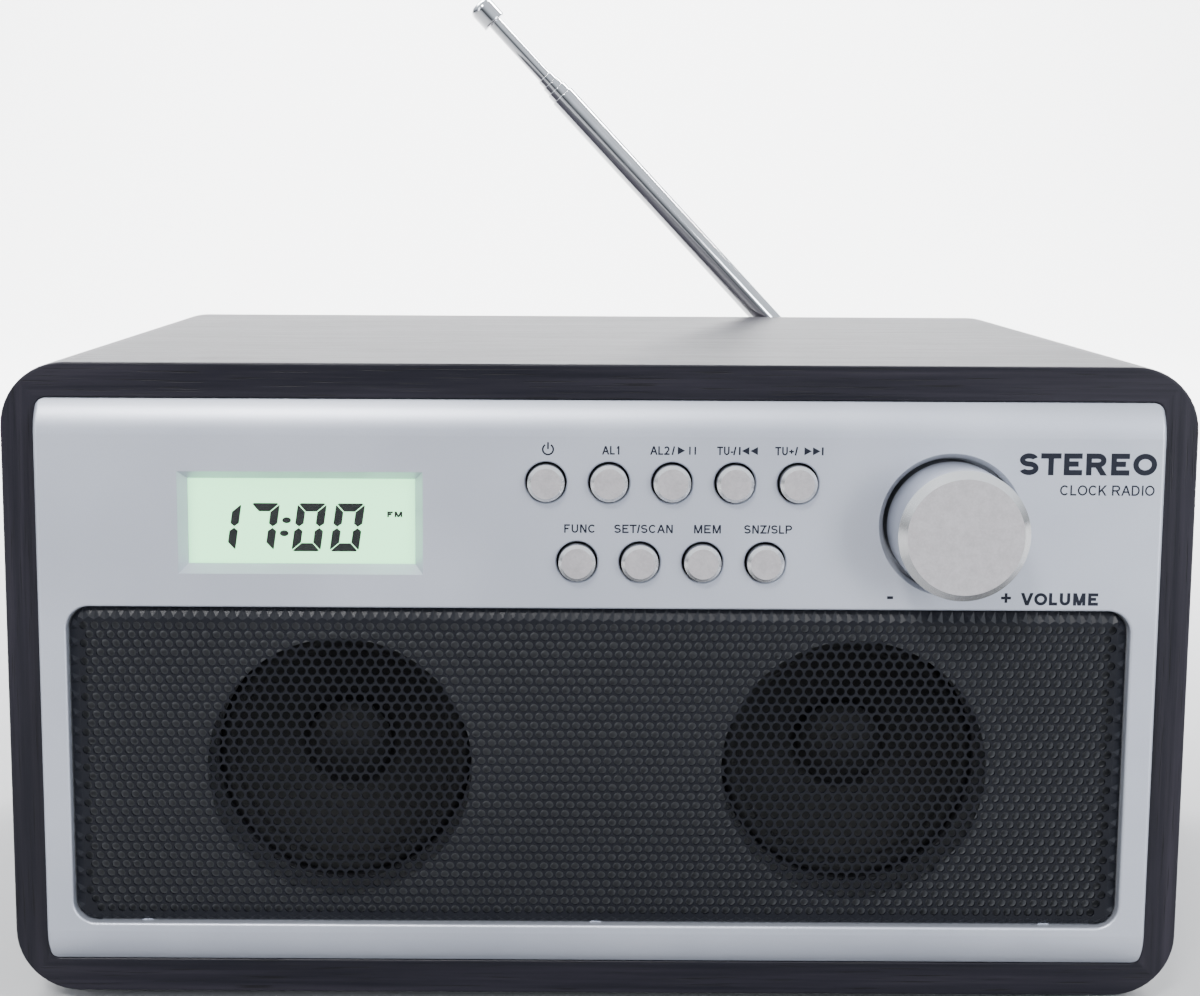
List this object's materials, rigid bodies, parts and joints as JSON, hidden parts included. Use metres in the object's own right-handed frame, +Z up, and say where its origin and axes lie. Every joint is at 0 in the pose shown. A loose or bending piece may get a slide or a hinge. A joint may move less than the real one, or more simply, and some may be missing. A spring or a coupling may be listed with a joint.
{
  "type": "tabletop radio",
  "caption": "Tabletop clock radio with a dark wooden sleeve, silver front panel, perforated grille, display, round keys, volume knob and a swivelling telescopic antenna.",
  "frame": {"origin": "on the surface the radio stands on, under the middle of its overall box", "axes": "+X to the right seen from the front, +Y from the front towards the back, +Z up"},
  "size_m": [0.26, 0.1768, 0.2404],
  "materials": {
    "dark_veneer": "satin lacquer",
    "softwood": "sawn",
    "silver_paint": "satin metallic paint",
    "black_steel": "satin powder coat",
    "black_board": "painted",
    "basket_steel": "satin",
    "cone_paper": "matt",
    "roll_rubber": "matt",
    "ferrite": "matt",
    "zinc_screw": "satin",
    "black_screw": "satin",
    "clear_window": "polished",
    "display_cell": "lit",
    "light_guide": "diffuse",
    "black_plastic": "fine texture",
    "brushed_aluminium": "brushed",
    "circuit_board": "solder mask",
    "plated_steel": "satin",
    "capacitor_sleeve": "gloss",
    "black_aluminium": "anodised",
    "grey_cable": "matt",
    "foot_rubber": "matt",
    "antenna_chrome": "polished"
  },
  "bodies": {
    "cabinet": {"cabinet_shell": "dark_veneer", "glue_blocks": "softwood", "feet": "foot_rubber", "front_panel": "silver_paint", "front_panel_screws": "zinc_screw", "speaker_grille": "black_steel", "baffle_board": "black_board", "speaker_screws": "zinc_screw", "display_window": "clear_window", "display_cell": "display_cell", "display_backlight": "light_guide", "display_tray": "black_plastic", "tact_switches": "black_plastic", "key_board": "circuit_board", "panel_part_screws": "zinc_screw", "volume_encoder": "plated_steel", "encoder_nut": "plated_steel", "main_board": "circuit_board", "board_spacers": "black_plastic", "main_board_screws": "zinc_screw", "heat_sink": "black_aluminium", "tuner_can": "plated_steel", "board_capacitors": "capacitor_sleeve", "dc_socket": "black_plastic", "aux_socket": "black_plastic", "headphone_socket": "black_plastic", "ribbon_cable": "grey_cable", "speaker_leads": "grey_cable", "back_panel": "black_plastic", "back_panel_screws": "black_screw", "antenna_bush": "black_plastic", "speaker_basket_left": "basket_steel", "speaker_cone_left": "cone_paper", "speaker_surround_left": "roll_rubber", "speaker_magnet_left": "ferrite", "speaker_basket_right": "basket_steel", "speaker_cone_right": "cone_paper", "speaker_surround_right": "roll_rubber", "speaker_magnet_right": "ferrite"},
    "volume_knob": {"volume_knob": "brushed_aluminium", "encoder_shaft": "plated_steel"},
    "antenna_swivel": {"antenna_swivel": "antenna_chrome", "swivel_screw": "zinc_screw", "pivot_pin": "antenna_chrome"},
    "antenna_base": {"antenna_knuckle": "antenna_chrome", "antenna_section_1": "antenna_chrome"},
    "antenna_tube_2": {"antenna_section_2": "antenna_chrome"},
    "antenna_tube_3": {"antenna_section_3": "antenna_chrome"},
    "antenna_tube_4": {"antenna_section_4": "antenna_chrome"},
    "antenna_rod": {"antenna_section_5": "antenna_chrome", "antenna_tip": "antenna_chrome"},
    "key_power": {"key_power": "brushed_aluminium"},
    "key_alarm_1": {"key_alarm_1": "brushed_aluminium"},
    "key_alarm_2": {"key_alarm_2": "brushed_aluminium"},
    "key_tune_down": {"key_tune_down": "brushed_aluminium"},
    "key_tune_up": {"key_tune_up": "brushed_aluminium"},
    "key_function": {"key_function": "brushed_aluminium"},
    "key_set": {"key_set": "brushed_aluminium"},
    "key_memory": {"key_memory": "brushed_aluminium"},
    "key_snooze": {"key_snooze": "brushed_aluminium"}
  },
  "joints": [
    {"name": "key_power_press", "type": "slide", "parent": "cabinet", "child": "key_power", "axis": [0, 1, 0], "range_m": [0, 0.0006], "stiffness_N_per_m": 1000, "springref_m": -0.001},
    {"name": "key_alarm_1_press", "type": "slide", "parent": "cabinet", "child": "key_alarm_1", "axis": [0, 1, 0], "range_m": [0, 0.0006], "stiffness_N_per_m": 1000, "springref_m": -0.001},
    {"name": "key_alarm_2_press", "type": "slide", "parent": "cabinet", "child": "key_alarm_2", "axis": [0, 1, 0], "range_m": [0, 0.0006], "stiffness_N_per_m": 1000, "springref_m": -0.001},
    {"name": "key_tune_down_press", "type": "slide", "parent": "cabinet", "child": "key_tune_down", "axis": [0, 1, 0], "range_m": [0, 0.0006], "stiffness_N_per_m": 1000, "springref_m": -0.001},
    {"name": "key_tune_up_press", "type": "slide", "parent": "cabinet", "child": "key_tune_up", "axis": [0, 1, 0], "range_m": [0, 0.0006], "stiffness_N_per_m": 1000, "springref_m": -0.001},
    {"name": "key_function_press", "type": "slide", "parent": "cabinet", "child": "key_function", "axis": [0, 1, 0], "range_m": [0, 0.0006], "stiffness_N_per_m": 1000, "springref_m": -0.001},
    {"name": "key_set_press", "type": "slide", "parent": "cabinet", "child": "key_set", "axis": [0, 1, 0], "range_m": [0, 0.0006], "stiffness_N_per_m": 1000, "springref_m": -0.001},
    {"name": "key_memory_press", "type": "slide", "parent": "cabinet", "child": "key_memory", "axis": [0, 1, 0], "range_m": [0, 0.0006], "stiffness_N_per_m": 1000, "springref_m": -0.001},
    {"name": "key_snooze_press", "type": "slide", "parent": "cabinet", "child": "key_snooze", "axis": [0, 1, 0], "range_m": [0, 0.0006], "stiffness_N_per_m": 1000, "springref_m": -0.001},
    {"name": "volume_turn", "type": "hinge", "parent": "cabinet", "child": "volume_knob", "pos_m": [0.0762, -0.08845, 0.11055], "axis": [0, 1, 0], "continuous": true},
    {"name": "antenna_turn", "type": "hinge", "parent": "cabinet", "child": "antenna_swivel", "pos_m": [0.0789, 0.08405, 0.1189], "axis": [0, 1, 0], "range_deg": [-46.8, 133.2]},
    {"name": "antenna_tilt", "type": "hinge", "parent": "antenna_swivel", "child": "antenna_base", "pos_m": [0.0789, 0.08405, 0.1189], "axis": [-0.729, 0, -0.6845], "range_deg": [0, 90]},
    {"name": "antenna_tube_2_slide", "type": "slide", "parent": "antenna_base", "child": "antenna_tube_2", "axis": [-0.6845, 0, 0.729], "range_m": [0, 0.1]},
    {"name": "antenna_tube_3_slide", "type": "slide", "parent": "antenna_tube_2", "child": "antenna_tube_3", "axis": [-0.6845, 0, 0.729], "range_m": [0, 0.1]},
    {"name": "antenna_tube_4_slide", "type": "slide", "parent": "antenna_tube_3", "child": "antenna_tube_4", "axis": [-0.6845, 0, 0.729], "range_m": [0, 0.1]},
    {"name": "antenna_rod_slide", "type": "slide", "parent": "antenna_tube_4", "child": "antenna_rod", "axis": [-0.6845, 0, 0.729], "range_m": [-0.0205, 0.08]}
  ]
}
